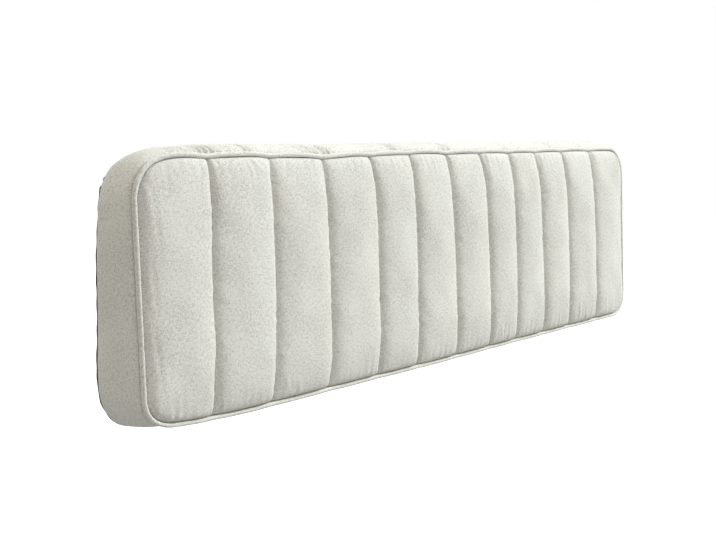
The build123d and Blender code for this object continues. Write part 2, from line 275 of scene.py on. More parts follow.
def drifted(points):
    """Points moved with the front's edges where those wander, less with depth behind the front."""
    points = np.array(points, float)
    near = np.exp(-((np.clip(behind_face(points), 0, None) / drift_depth) ** 2))
    rise = (points[..., 2] - bottom) / height
    high = smooth(np.clip((rise - 1 + drift_reach) / drift_reach, 0, 1))
    low = smooth(np.clip((drift_reach - rise) / drift_reach, 0, 1))
    points[..., 2] += near * (drift(top_drift, points[..., 0]) * high + drift(bottom_drift, points[..., 0]) * low)
    return points


def behind_face(points):
    """How far points lie behind the plane of the front's welt."""
    return -(points - face_origin) @ face_out


def unit(vectors):
    return vectors / np.linalg.norm(vectors, axis=-1, keepdims=True)


def closed(points, axis):
    """Points with the first of them again at the end, along an axis."""
    return np.concatenate([points, points.take([0], axis)], axis)


def lengths(points, axis):
    """How far along a line or a grid each of its points is, from the start of an axis."""
    steps = np.linalg.norm(np.diff(points, axis=axis), axis=-1)
    return np.concatenate([np.zeros_like(steps.take([0], axis)), np.cumsum(steps, axis)], axis)


def new_object(name, data):
    """A new object in the scene."""
    thing = bpy.data.objects.new(name, data)
    bpy.context.scene.collection.objects.link(thing)
    return thing


def mesh_object(name, points, faces, uv=None):
    """A smooth mesh object; uv holds one pair in metres for each corner of each face."""
    mesh = bpy.data.meshes.new(name)
    mesh.from_pydata(np.reshape(points, (-1, 3)).tolist(), [], [list(map(int, face)) for face in faces])
    if uv is not None:
        layer = mesh.uv_layers.new(name="cloth")
        layer.uv.foreach_set("vector", np.asarray(uv, np.float32).ravel())
    mesh.shade_smooth()
    return new_object(name, mesh)


def quads(grid):
    """The four corners of each cell of a grid, in turn."""
    return np.stack((grid[:-1, :-1], grid[:-1, 1:], grid[1:, 1:], grid[1:, :-1]), 2)


def grid_faces(rows, columns, loop=False, ring=False):
    """Quads of a grid of points; loop joins the last column to the first, ring the last row."""
    index = np.arange(rows * columns).reshape(rows, columns)
    if loop:
        index = closed(index, 1)
    if ring:
        index = closed(index, 0)
    return quads(index).reshape(-1, 4)


def grid_uv(along, up):
    """Corner coordinates of the same grid's quads, from lengths that go on to the closing column or row."""
    return quads(np.stack(np.broadcast_arrays(along, up), -1)).reshape(-1, 2)


def grid_object(name, points, uv=None, loop=False, ring=False):
    """A smooth object through a grid of points, closed as in grid_faces."""
    return mesh_object(name, points, grid_faces(*points.shape[:2], loop, ring), uv)


def thicken(piece, thickness):
    """Gives an open cloth its thickness, on the side that its faces turn away from, and tells its area."""
    area = sum(face.area for face in piece.data.polygons)
    shell = piece.modifiers.new("thickness", "SOLIDIFY")
    shell.thickness = thickness
    shell.offset = -1
    shell.use_even_offset = False
    bpy.context.view_layer.update()
    graph = bpy.context.evaluated_depsgraph_get()
    mesh = bpy.data.meshes.new_from_object(piece.evaluated_get(graph))
    piece.modifiers.clear()
    piece.data = mesh
    return area


def place(piece, slot, material, *nodes):
    """Rides the piece on the headboard, gives it its material and hides the nodes it stands for; the slot is not used.
    """
    piece.data.materials.clear()
    piece.data.materials.append(material)
    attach(piece, "headboard")
    if nodes:
        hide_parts(*nodes)
    return piece


class Nodes:
    """Short calls to build the nodes of a material or of the world."""

    def __init__(self, tree):
        self.tree = tree

    def add(self, kind, **settings):
        """A node with its own settings."""
        node = self.tree.nodes.new("ShaderNode" + kind)
        for key, value in settings.items():
            setattr(node, key, value)
        return node

    def put(self, node, key, value):
        """Links or sets one input, by its name or its number."""
        if isinstance(value, bpy.types.NodeSocket):
            self.tree.links.new(value, node.inputs[key])
        else:
            node.inputs[key].default_value = value

    def fill(self, node, *values, **named):
        """Feeds a node's first inputs in order and others by name, with _ for a space; gives its first output."""
        for key, value in enumerate(values):
            self.put(node, key, value)
        for key, value in named.items():
            self.put(node, key.replace("_", " "), value)
        return node.outputs[0]

    def math(self, operation, *values):
        return self.fill(self.add("Math", operation=operation), *values)

    def plus(self, first, second):
        return self.math("ADD", first, second)

    def times(self, first, second):
        return self.math("MULTIPLY", first, second)

    def noise(self, vector, scale, detail, **named):
        return self.fill(self.add("TexNoise"), Vector=vector, Scale=scale, Detail=detail, **named)

    def cells(self, vector, scale):
        return self.fill(self.add("TexVoronoi"), Vector=vector, Scale=scale)

    def spot(self):
        """The place on the object, in metres."""
        return self.add("TexCoord").outputs["Object"]

    def mapped(self, vector, **named):
        return self.fill(self.add("Mapping"), Vector=vector, **named)

    def split(self, vector):
        node = self.add("SeparateXYZ")
        self.fill(node, vector)
        return node.outputs

    def mix(self, share, first, second):
        node = self.add("Mix", data_type="RGBA")
        for key, value in ((0, share), (6, first), (7, second)):
            self.put(node, key, value)
        return node.outputs[2]

    def ramp(self, value, low, high, first=0.0, second=1.0):
        return self.fill(self.add("MapRange"), value, low, high, first, second)

    def bump(self, relief, distance, strength=1.0):
        return self.fill(self.add("Bump"), Height=relief, Distance=distance, Strength=strength)

    def seen(self):
        """1 to the camera, a reflection or a clear surface, 0 to what lights the object."""
        path = self.add("LightPath").outputs
        shiny = self.math("MAXIMUM", path["Is Glossy Ray"], path["Is Transmission Ray"])
        return self.math("MAXIMUM", path["Is Camera Ray"], shiny)


class Finish(Nodes):
    """The nodes of one new material."""

    def __init__(self, name):
        self.material = bpy.data.materials.new(name)
        self.material.use_nodes = True
        super().__init__(self.material.node_tree)

    def done(self, **sockets):
        """Feeds the shader's inputs and gives the material."""
        self.fill(self.tree.nodes["Principled BSDF"], **sockets)
        return self.material


def linear(*levels):
    """A colour from display levels of 0 to 255, none of them under 11."""
    return tuple(((level / 255 + 0.055) / 1.055) ** 2.4 for level in levels) + (1.0,)


def darker(colour, share):
    return tuple(share * c for c in colour[:3]) + (1,)


def cloth_material(name, turn=0.0):
    """Heathered chenille: a plain weave of soft threads with pale and dark flecks and slubs."""
    n = Finish(name)
    pale, dark = linear(232, 232, 226), linear(190, 190, 184)
    flat = n.mapped(n.add("UVMap", uv_map="cloth").outputs[0], Rotation=(0, 0, turn))
    stray = n.noise(flat, 90.0, 2.0).node.outputs["Color"]
    spot = n.fill(n.add("VectorMath", operation="MULTIPLY_ADD"), stray, (thread_stray, thread_stray, 0), flat)
    warp, weft = (n.times(way, 1 / thread) for way in n.split(spot)[:2])
    warp_round, weft_round = (n.math("ABSOLUTE", n.math("SINE", n.times(way, pi))) for way in (warp, weft))
    over = n.math("FLOORED_MODULO", n.plus(n.math("FLOOR", warp), n.math("FLOOR", weft)), 2.0)
    warp_height = n.times(warp_round, n.plus(0.45, n.times(over, 0.55)))
    weft_height = n.times(weft_round, n.math("SUBTRACT", 1.0, n.times(over, 0.55)))
    weave = n.math("MAXIMUM", warp_height, weft_height)
    pile = n.plus(n.times(weave, 0.6), n.times(n.noise(spot, 2600.0, 3.0, Roughness=0.7), 0.8))
    tone = n.times(n.noise(n.mapped(spot, Scale=(1, 0.22, 1)), 620.0, 2.0), 0.8)
    for part, weight in (
        (n.noise(n.mapped(spot, Scale=(0.22, 1, 1)), 560.0, 2.0), 0.8),
        (n.noise(spot, 560.0, 3.0, Roughness=0.75), 1.4),
        (n.math("SUBTRACT", n.noise(spot, 240.0, 2.0), 0.5), 0.65),
        (n.noise(spot, 9.0, 3.0), 0.35),
        (weave, 0.25),
    ):
        tone = n.plus(tone, n.times(part, weight))
    colour = n.mix(n.ramp(tone, 1.585, 1.935), dark, pale)
    dark_fleck = n.ramp(n.noise(n.mapped(spot, Scale=(1, 0.6, 1)), 480.0, 1.0), 0.66, 0.74)
    return n.done(
        Base_Color=n.mix(n.times(dark_fleck, 0.35), colour, darker(dark, 0.55)),
        Roughness=0.93,
        Specular_IOR_Level=0.2,
        Sheen_Weight=0.12,
        Sheen_Roughness=0.45,
        Normal=n.bump(pile, 0.0005, 0.7),
    )


def wood_material(name, pale, dark, grain_scale, layers=False):
    """Planed softwood with its long grain, or plywood with its glued layers across the edge."""
    n = Finish(name)
    spot = n.spot()
    stray = n.noise(n.mapped(spot, Scale=grain_scale), 14.0, 4.0, Distortion=0.6)
    streaks = n.noise(n.mapped(spot, Scale=tuple(6 * g for g in grain_scale)), 40.0, 6.0)
    rings = n.ramp(n.math("SINE", n.times(stray, 42.0)), -1, 1, 0, 0.55)
    colour = n.mix(n.plus(rings, n.times(streaks, 0.5)), pale, dark)
    if layers:
        ply = n.math("SINE", n.times(n.split(spot)[1], 2 * pi / plywood_layer))
        colour = n.mix(n.ramp(ply, 0.2, 0.5, 0, 0.3), colour, darker(dark, 0.6))
    return n.done(Base_Color=colour, Roughness=n.ramp(streaks, 0.2, 0.8, 0.6, 0.8), Normal=n.bump(streaks, 0.0006, 0.5))


def metal_material(name, colour, roughness, brushed):
    """Bare metal with fine lines or a mottled zinc coat, and dull patches from handling."""
    n = Finish(name)
    spot = n.spot()
    lines = n.noise(n.mapped(spot, Scale=brushed), 60.0, 5.0)
    patches = n.noise(spot, 18.0, 3.0)
    patched = n.mix(n.ramp(patches, 0.35, 0.7), colour, darker(colour, 0.8))
    wear = n.plus(n.times(lines, 0.6), n.times(patches, 0.4))
    dull = n.ramp(wear, 0.3, 0.7, roughness - 0.08, roughness + 0.12)
    return n.done(Base_Color=patched, Roughness=dull, Metallic=1.0, Normal=n.bump(lines, 0.0001, 0.4))


def rubber_material():
    """Moulded matt rubber with a fine grain."""
    n = Finish("bumper_rubber")
    spot = n.spot()
    dust = n.noise(spot, 60.0, 4.0)
    return n.done(
        Base_Color=n.mix(n.ramp(dust, 0.4, 0.75), linear(38, 37, 36), linear(62, 60, 58)),
        Roughness=n.ramp(dust, 0.3, 0.7, 0.62, 0.8),
        Normal=n.bump(n.noise(spot, 1500.0, 3.0), 0.0003, 0.5),
    )


def fibre_material():
    """White polyester wadding."""
    n = Finish("fibre_filling")
    tufts = n.noise(n.spot(), 140.0, 6.0, Roughness=0.7)
    colour = n.mix(n.ramp(tufts, 0.3, 0.7), linear(228, 227, 220), linear(250, 250, 247))
    return n.done(Base_Color=colour, Roughness=0.95, Normal=n.bump(tufts, 0.003))


def foam_material():
    """Cream open-cell foam."""
    n = Finish("foam")
    spot = n.spot()
    colour = n.mix(n.noise(spot, 12.0, 3.0), linear(236, 226, 190), linear(247, 240, 212))
    return n.done(Base_Color=colour, Roughness=0.95, Normal=n.bump(n.cells(spot, 900.0), 0.0008))


def cord_material():
    """Twisted cotton piping cord."""
    n = Finish("cotton_cord")
    fibres = n.noise(n.spot(), 900.0, 4.0)
    colour = n.mix(fibres, linear(222, 215, 198), linear(243, 239, 228))
    return n.done(Base_Color=colour, Roughness=0.9, Normal=n.bump(fibres, 0.0006))


def cambric_material():
    """Thin dark non-woven cloth with its pressed dots and loose fibres."""
    n = Finish("dust_cover_cloth")
    spot = n.spot()
    fibres = n.noise(spot, 380.0, 6.0, Roughness=0.75)
    share = n.plus(n.times(fibres, 0.7), n.times(n.noise(spot, 7.0, 3.0), 0.3))
    colour = n.mix(n.ramp(share, 0.35, 0.65), linear(50, 43, 38), linear(82, 72, 64))
    relief = n.plus(n.ramp(n.cells(spot, 520.0), 0.1, 0.5), n.times(fibres, 0.6))
    return n.done(Base_Color=colour, Roughness=0.85, Sheen_Weight=0.1, Normal=n.bump(relief, 0.0003, 0.8))


pine_colours = linear(226, 196, 146), linear(188, 146, 96)
plywood_colours = linear(214, 184, 140), linear(182, 144, 100)
cloth = cloth_material("upholstery_cloth")
welt_cloth = cloth_material("welt_cloth", turn=pi / 4)
fibre = fibre_material()
foam = foam_material()
cord_cotton = cord_material()
cambric = cambric_material()
zinc = metal_material("zinc_screws", (0.62, 0.61, 0.56, 1), 0.38, (1, 1, 1))
pine_upright = wood_material("pine_upright", *pine_colours, (1, 1, 0.12))

# CAD nodes that keep their shapes: a better material for each slot, with pine's grain along each timber
node_materials = {
    "zinc_screws": zinc,
    "rail_aluminium": metal_material("rail_aluminium", (0.74, 0.75, 0.77, 1), 0.36, (0.02, 1, 1)),
    "bumper_rubber": rubber_material(),
    "plywood": wood_material("plywood", *plywood_colours, (0.15, 1, 1), layers=True),
    "cotton_cord": cord_cotton,
    "pine": wood_material("pine_along", *pine_colours, (0.12, 1, 1)),
}
for part in frame["record"]["subparts"]:
    finish = node_materials.get(part["material_slot"])
    if finish is None:
        continue
    if "stile" in part["node"]:
        finish = pine_upright
    node_mesh = frame["nodes"][part["node"]].data
    node_mesh.materials.clear()
    node_mesh.materials.append(finish)


def seam_x(index, rise):
    """Place of a seam along X at a rise, with the way it strays from upright."""
    if index in (0, channel_count):
        return np.full_like(rise, half_width if index else -half_width)
    table = seam_stray[index - 1]
    stray = curve_shares(rise / slope * (len(table) - 1), len(table)) @ np.array(table)
    wobble = waves(40 + index, 4, 0.05, 0.12)(rise, 0 * rise)
    return -half_width + pitch * (index + seam_shift_share[index - 1]) + 0.001 * (stray + 0.25 * wobble)


def corner_rows(radius, steps):
    """Rises from the cover's edge round a corner, closer where it curves."""
    turn = np.linspace(0, pi / 2, steps)
    return radius * (1 - np.cos(turn))


low_corner = front_bottom_radius - welt_set
high_corner = front_top_radius - welt_set
cover_half = half_width - welt_set
low_rows = welt_set + corner_rows(low_corner, 15)
high_rows = slope - welt_set - corner_rows(high_corner, 22)[::-1]
middle_rows = np.linspace(low_rows[-1], high_rows[0], 82)[1:-1]
rises = np.concatenate([low_rows, middle_rows, high_rows])


def cover_limit(rise):
    """Half width of the cover at a rise, round the corners."""
    low = np.clip(1 - (rise - welt_set) / low_corner, 0, 1)
    high = np.clip(1 - (slope - welt_set - rise) / high_corner, 0, 1)
    return cover_half - low_corner * (1 - np.sqrt(1 - low**2)) - high_corner * (1 - np.sqrt(1 - high**2))


# Short folds under the welt and over it, read from the photograph, all in millimetres: place along X and
# rise at each end, height and width
folds = (
    (-834, 437, -826, 422, 1.0, 3.0), (-822, 447, -812, 428, 0.8, 3.0), (-793, 452, -786, 425, 1.0, 3.4),
    (-781, 451, -772, 432, 0.8, 3.0), (-752, 450, -748, 420, 1.1, 2.8), (-745, 448, -740, 424, 1.0, 2.6),
    (-690, 450, -678, 434, 1.0, 3.0), (-663, 452, -652, 438, 0.6, 3.2), (-624, 454, -602, 430, 1.5, 3.4),
    (-641, 452, -628, 424, 0.9, 3.4), (-590, 454, -586, 430, 0.8, 3.0), (-448, 452, -436, 430, 1.2, 3.4),
    (-428, 444, -424, 418, 1.0, 3.0), (-520, 452, -508, 436, 0.6, 3.4), (-160, 454, -150, 438, 0.6, 3.4),
    (12, 455, 20, 425, 1.2, 3.4), (24, 453, 30, 428, 0.9, 3.0), (690, 456, 700, 438, 0.6, 4.0),
    (850, 448, 858, 425, 1.0, 4.0), (-548, 12, -560, 48, 1.1, 4.6), (-520, 12, -528, 40, 0.9, 4.2),
    (225, 12, 215, 45, 1.0, 4.6), (255, 12, 250, 38, 0.8, 4.2), (622, 12, 610, 55, 1.3, 5.0),
    (655, 12, 645, 50, 1.2, 4.8), (690, 12, 684, 45, 1.0, 4.6), (775, 12, 766, 58, 1.2, 5.0),
    (810, 12, 804, 50, 1.1, 4.8),
)


def folded(x, level):
    """Height of the short folds at places on the front."""
    total = 0 * x
    for x_start, level_start, x_end, level_end, high, wide in 0.001 * np.array(folds):
        x_way, level_way = x_end - x_start, level_end - level_start
        long = hypot(x_way, level_way)
        ahead = ((x - x_start) * x_way + (level - level_start) * level_way) / long**2
        aside = ((x - x_start) * level_way - (level - level_start) * x_way) / long / wide
        fade = np.exp(-((np.clip(np.abs(ahead - 0.35) - 0.35, 0, None) / 0.4) ** 2))
        total = total + high * fade * (np.exp(-(aside**2)) - 0.6 * np.exp(-((np.abs(aside) - 1.7) ** 2) * 2))
    return total


unevenness = waves(7, 14, 0.05, 0.14)
small_puckers = waves(11, 10, 0.010, 0.028)


def channel_bow(index, share, rise):
    """The plain bowed form of one channel at shares of its width, on rows up the face."""
    limit = cover_limit(rise)
    left = np.maximum(seam_x(index - 1, rise), -limit)
    right = np.minimum(seam_x(index, rise), limit)
    x = left[:, None] * (1 - share) + right[:, None] * share
    reach = np.minimum(rise, slope - rise) - welt_set
    valley = valley_rise * np.sin(pi / 2 * np.clip(reach / valley_ramp, 0, 1))
    full = 1 - roll_share * np.exp(-reach / roll_length) - (1 - roll_share) * np.exp(-reach / plump_length)
    crown = edge_crown + (crown_rise - edge_crown) * full
    left_height = valley * (index > 1)
    right_height = valley * (index < channel_count)
    chord = left_height[:, None] * (1 - share) + right_height[:, None] * share
    aside = np.abs(2 * share - 1)
    bow = 1 - (1 - tight_share) * aside**round_power - tight_share * aside**tight_power
    return x, rise[:, None] + 0 * x, chord + crown[:, None] * bow


def near_edge(reach, start, end):
    """A share that grows away from an edge over a short reach and fades over a longer one."""
    return np.exp(-reach / end) * (1 - np.exp(-reach / start))


def channel_surface(index, share, rise):
    """Outer surface of one strip, with its creases at seams and welt, its puckers and uneven filling."""
    x, level, out = channel_bow(index, share, rise)
    first, last = index == 1, index == channel_count
    from_left, from_right = x - x[:, :1], x[:, -1:] - x
    reach = np.minimum(rise, slope - rise)[:, None] - welt_set
    seam_reach = np.minimum(from_left + beyond * first, from_right + beyond * last)
    welt_reach = np.minimum(from_left + beyond * (not first), from_right + beyond * (not last))
    welt_reach = np.minimum(reach, welt_reach)
    depth = seam_crease_depth * np.clip(0.3 + reach / valley_ramp, 0, 1)
    out = out - depth * np.exp(-((seam_reach / seam_crease_width) ** seam_crease_power))
    out = out - welt_tuck_depth * np.exp(-np.clip(welt_reach, 0, None) / welt_tuck_width)
    inside = 1 - np.exp(-np.minimum(seam_reach, welt_reach) / filling_start)
    out = out + filling_unevenness * unevenness(x, level * 0.7) * inside
    near_seam = near_edge(seam_reach, seam_pucker_start, seam_pucker_end)
    near_welt = near_edge(welt_reach, welt_pucker_start, welt_pucker_end)
    out = out + seam_pucker_height * small_puckers(x * 0.35, level) * near_seam
    out = out + welt_pucker_height * small_puckers(x, level * 0.3 + 5) * near_welt
    out = out + folded(x, level) * (1 - np.exp(-seam_reach / fold_start))
    moved = blown[index - 1]
    if moved is not None:
        rows = curve_shares((rise - rises[0]) / (rises[-1] - rises[0]) * (len(moved) - 1), len(moved))
        columns = curve_shares(share.ravel() * (moved.shape[1] - 1), moved.shape[1])
        move = np.einsum("ri,ijk,cj->rck", rows, moved, columns)
        x, level, out = x + move[..., 0], level + move[..., 1], out + move[..., 2]
    return x, level, np.maximum(out, cloth_above_foam - channel_base)


def blow_up():
    """Blows each strip up between its seams with Blender's cloth, and gives how far it moves on a grid.

    The cloth is cut a little too large, more so beside the welt, so it puckers where it is held. The form
    of the filling stays as it is: what the blow adds evenly up the strip is taken out again."""
    rows = np.linspace(rises[0], rises[-1], blow_rows)
    reach = np.minimum(rows, slope - rows) - welt_set
    share = np.linspace(0, 1, blow_columns)
    pieces, starts = [], []
    for index in range(1, channel_count + 1):
        start = np.stack(channel_bow(index, share[None, :], rows), -1)
        piece = grid_object("blown", start)
        vertex = np.arange(start[..., 0].size).reshape(blow_rows, blow_columns)
        held = np.zeros_like(vertex, bool)
        held[[0, -1]] = held[:, [0, -1]] = True
        piece.vertex_groups.new(name="held").add(vertex[held].tolist(), 1.0, "REPLACE")
        loose = piece.vertex_groups.new(name="loose")
        for row, weight in zip(vertex, np.exp(-reach / blow_reach)):
            loose.add(row.tolist(), float(weight), "REPLACE")
        sewn = piece.modifiers.new("cloth", "CLOTH")
        sewn.settings.vertex_group_mass = "held"
        sewn.settings.vertex_group_shrink = "loose"
        sewn.settings.shrink_min = -blow_slack_middle
        sewn.settings.shrink_max = -blow_slack_edge
        sewn.settings.use_pressure = True
        sewn.settings.uniform_pressure_force = blow_pressure
        sewn.settings.bending_stiffness = blow_stiffness
        sewn.settings.effector_weights.gravity = 0
        sewn.collision_settings.use_collision = False
        sewn.point_cache.frame_end = blow_frames
        pieces.append(piece)
        starts.append(start)
    for number in range(1, blow_frames + 1):
        bpy.context.scene.frame_set(number)
    graph = bpy.context.evaluated_depsgraph_get()
    moves = []
    for piece, start in zip(pieces, starts):
        ended = piece.evaluated_get(graph).to_mesh()
        places = np.empty(start.size)
        ended.vertices.foreach_get("co", places)
        move = places.reshape(start.shape) - start
        soft = move.copy()
        beside = move[:-2, 1:-1] + move[2:, 1:-1] + move[1:-1, :-2] + move[1:-1, 2:]
        soft[1:-1, 1:-1] = (beside + 2 * move[1:-1, 1:-1]) / 6
        even = soft[blow_end_rows:-blow_end_rows].mean(0) * (1 - np.exp(-reach / blow_end_reach))[:, None, None]
        moves.append(np.clip(soft - even, blow_cap_in, blow_cap_out))
        piece.evaluated_get(graph).to_mesh_clear()
    for piece in pieces:
        bpy.data.objects.remove(piece)
    bpy.context.scene.frame_set(1)
    return moves


# Where a strip's columns stand across its width, closer beside the seams
column_turn = np.cos(pi * np.linspace(0, 1, strip_columns))
column_share = 0.5 - 0.5 * column_turn * (0.82 + 0.18 * np.abs(column_turn))
column_share[[0, -1]] = 0, 1


def front_strip(index):
    """One strip of the front's cloth with its seam allowances turned in."""
    surface = np.stack(channel_surface(index, column_share[None, :], rises), -1)

    def allowance(column, side, step):
        """The seam allowance at the first or the last column, a share of its way in."""
        edge = surface[:, column].copy()
        room = edge[:, 2] + channel_base - allowance_clearance + 0.0005 * step
        edge[:, 0] += side * seam_gap * (1 + step)
        edge[:, 2] -= np.maximum(np.minimum(seam_allowance * step, room), allowance_least)
        return edge

    left = np.stack([allowance(0, 1, 1.0), allowance(0, 1, 0.5)], 1)
    right = np.stack([allowance(-1, -1, 0.5), allowance(-1, -1, 1.0)], 1)
    points = drifted(on_face(*np.moveaxis(np.concatenate([left, surface, right], 1), -1, 0)))
    along, up = lengths(points, 1), lengths(points, 0)
    middle = along.shape[1] // 2
    along = along - along[:, [middle]] + index * pitch * cloth_per_pitch
    piece = grid_object(f"front_cloth_{index:02d}", points, grid_uv(along, up))
    return piece, (float(np.ptp(along, 1).max()), float(up.max())), thicken(piece, cloth_thickness)


def channel_filling(index):
    """Soft filling of one channel, under its cloth and flat on the foam."""
    share = np.linspace(0, 1, 15)
    rise = np.linspace(rises[0] + pad_seam_clearance, rises[-1] - pad_seam_clearance, 60)
    x, level, out = channel_bow(index, share[None, :], rise)
    x = x + (0.5 - share) * 2 * pad_seam_clearance
    sink = cloth_thickness + pad_clearance + seam_crease_depth
    out = np.maximum(out - sink, pad_least_height - channel_base)
    base = np.full_like(out, foam_gap - channel_base)
    round_section = (np.column_stack(pair) for pair in ((x, x[:, ::-1]), (level, level), (out, base)))
    points = drifted(on_face(*round_section))
    rows, columns = x.shape
    faces = grid_faces(rows, 2 * columns, loop=True).tolist()
    for row, step in ((0, 1), (rows - 1, -1)):
        start = row * 2 * columns
        end = start + 2 * columns - 1
        for column in range(columns - 1):
            faces.append((start + column, end - column, end - 1 - column, start + column + 1)[::step])
    return mesh_object(f"channel_filling_{index:02d}", points, faces)


blown = blow_up()
for index in range(1, channel_count + 1):
    strip, cut, area = front_strip(index)
    place(strip, "upholstery_cloth", cloth, f"channel_cover_{index:02d}")
    filling = place(channel_filling(index), "fibre_filling", fibre, f"channel_pad_{index:02d}")


# Steps of an outline along half the bottom, each low corner, a side, each high corner and the top
outline_counts = (240, 24, 160, 40, 1240)


def outline_points(inset, half, low, high, low_radius, high_radius):
    """Closed rounded outline drawn in by an inset, from the middle of the bottom, anticlockwise seen from
    the front, as X and rise."""
    half, low, high = half - inset, low + inset, high - inset
    low_radius, high_radius = low_radius - inset, high_radius - inset
    straight_low, corner_low, straight_side, corner_high, straight_high = outline_counts

    def line(a, b, count):
        t = np.linspace(0, 1, count, endpoint=False)[:, None]
        return np.array(a) * (1 - t) + np.array(b) * t

    def arc(centre, radius, start, count):
        turn = start + np.linspace(0, pi / 2, count, endpoint=False)
        return np.column_stack([centre[0] + radius * np.cos(turn), centre[1] + radius * np.sin(turn)])

    return np.concatenate([
        line((0, low), (half - low_radius, low), straight_low),
        arc((half - low_radius, low + low_radius), low_radius, -pi / 2, corner_low),
        line((half, low + low_radius), (half, high - high_radius), straight_side),
        arc((half - high_radius, high - high_radius), high_radius, 0, corner_high),
        line((half - high_radius, high), (-half + high_radius, high), straight_high),
        arc((-half + high_radius, high - high_radius), high_radius, pi / 2, corner_high),
        line((-half, high - high_radius), (-half, low + low_radius), straight_side),
        arc((-half + low_radius, low + low_radius), low_radius, pi, corner_low),
        line((-half + low_radius, low), (0, low), straight_low),
    ])


def front_line(inset):
    """Outline of the welt's middle line on the front, drawn in by the inset."""
    return outline_points(inset, half_width, 0, slope, front_bottom_radius, front_top_radius)


def back_line(inset):
    """Outline of the back, drawn in by the inset."""
    half, high = half_width - back_narrow, height + back_rise
    return outline_points(inset, half, -back_drop, high, back_bottom_radius, back_top_radius)


def plane_points(outline, depth_share, back=0.0):
    """Outline points on the plane across the headboard at a share of its depth from the back."""
    up = unit(np.array((0, lean * depth_share, height)))
    origin = np.array((0, back - wall_gap - depth_bottom * depth_share, bottom))
    return origin + outline[:, :1] * across_axis + outline[:, 1:] * up


def welt_dip(x, rise):
    """How far the welt is drawn in at each seam."""
    dip = 0
    for index in range(1, channel_count):
        for pull, end in welt_dips:
            seam = seam_x(index, np.array([end * slope]))[0]
            near = np.exp(-(((x - seam) / welt_dip_reach) ** 2)) * (np.abs(rise - end * slope) < 0.01)
            dip = dip + pull * near
    return dip


def welt(name, fullness=1.0):
    """Round welt with its sleeve's fine creases, drawn in a little at each seam, or the cord inside it."""
    x, rise = front_line(0.0).T
    path = drifted(on_face(x, rise + welt_dip(x, rise), 0.0))
    ahead = unit(np.roll(path, -1, 0) - np.roll(path, 1, 0))
    side = unit(np.cross(ahead, face_out))
    along = lengths(closed(path, 0), 0)
    a, t = along[:-1, None], np.linspace(0, 2 * pi, welt_columns, endpoint=False)[None, :]
    creases = waves(21, 12, 0.004, 0.012)
    swell = waves(22, 6, 0.04, 0.2)
    radius = welt_radius * (1 + 0.025 * creases(a, t * 0.004) + 0.03 * swell(a, 0 * t))
    radius = radius * (1 - 0.14 * np.clip((bottom + 0.04 - path[:, None, 2]) / 0.03, 0, 1))
    splice = path[:, None, 2] - splice_level - 0.003 * np.cos(t)
    radius = radius * (1 - 0.3 * np.exp(-((splice / 0.0016) ** 2)) * (x[:, None] < -half_width + 0.01))
    spokes = np.cos(t)[..., None] * side[:, None] + np.sin(t)[..., None] * face_out
    points = path[:, None] + fullness * radius[..., None] * spokes
    around = np.linspace(0, 2 * pi * welt_radius, welt_columns + 1)
    return grid_object(name, points, grid_uv(along[:, None], around), loop=True, ring=True)


place(welt("welt_tube"), "upholstery_cloth", welt_cloth, "welt_sleeve")
place(welt("welt_core", 0.7), "cotton_cord", cord_cotton, "welt_cord")


def band_shares(steps):
    """Shares of the way from the welt to the back, closer beside the welt."""
    return np.linspace(0, 1, steps) ** 1.5


def band_points(inset=0.0, steps=41):
    """Rows of points over the band from the welt to the back, drawn in by the inset."""
    crown = hypot(height, lean / 2) + band_crown_top
    half = half_width + band_crown_side
    middle_line = outline_points(inset, half, -band_crown_bottom, crown, middle_bottom_radius, middle_top_radius)
    front = plane_points(front_line(inset), 1) - face_out * welt_set
    middle = plane_points(middle_line, 0.5)
    back = plane_points(back_line(inset), 0, -dust_cover_thickness)
    w = band_shares(steps)[:, None, None]
    return drifted(front * 2 * (w - 0.5) * (w - 1) + middle * 4 * w * (1 - w) + back * 2 * w * (w - 0.5))


def end_reach(table, more=0.0):
    """Moves of the back outline's points in X and Z at the left end, outward by a table's millimetres."""
    line = back_line(0.0)
    outward = (line - back_line(0.001)) / 0.001
    spots, moves = np.array(table).T
    reach = 0.001 * np.interp(bottom + line[:, 1], spots, moves) + more
    fade = np.clip((reach_fade_end - line[:, 0]) / (reach_fade_end - reach_fade_start), 0, 1)
    return outward * (reach * smooth(fade))[:, None]


def band_ring(band, behind):
    """The band's points at one distance behind the face."""
    distances = behind_face(band)
    ring = np.empty_like(band[0])
    for column, axis in np.ndindex(*ring.shape):
        ring[column, axis] = np.interp(behind, distances[:, column], band[:, column, axis])
    return ring


def band_normals(points):
    """Outward directions of the band's points."""
    along = np.roll(points, -1, 1) - np.roll(points, 1, 1)
    return unit(np.cross(np.gradient(points, axis=0), along))


# Creases of the cloth across the top of the band, read from the photograph, all in millimetres: place along
# X at the front, way to the right at the back, height and width
top_creases = (
    (-803, 4, 0.8, 2.4), (-783, 2, 0.9, 2.4), (-766, -2, 0.9, 2.4), (-745, -4, 1.2, 2.6), (-731, -4, 1.4, 2.6),
    (-716, -6, 1.5, 2.8), (-699, -6, 1.3, 2.8), (-680, -4, 0.6, 3.0), (-655, -2, 0.6, 3.0), (-617, -6, 1.4, 3.0),
    (-598, 0, 0.5, 3.0), (-548, 2, 0.4, 3.0), (-457, -4, 0.9, 3.2), (-433, -6, 1.4, 3.2), (-413, -4, 0.8, 3.2),
    (-391, -6, 1.5, 3.4), (-376, -4, 0.9, 3.4), (-170, -6, 1.2, 3.6), (-152, -4, 0.6, 3.6), (30, -4, 1.1, 4.0),
    (52, 0, 0.6, 4.0), (290, -4, 0.8, 4.2), (520, -4, 0.9, 4.6), (680, -4, 0.9, 4.6),
)
# How much more than read these are raised and widened, so that they show as in the photograph, and where
# they start and fade, as shares of the way back
crease_raise = 2.9
crease_widen = 1.5
crease_start = 0.025
crease_end = 0.44
crease_fade = 0.24
crease_rest = 0.12
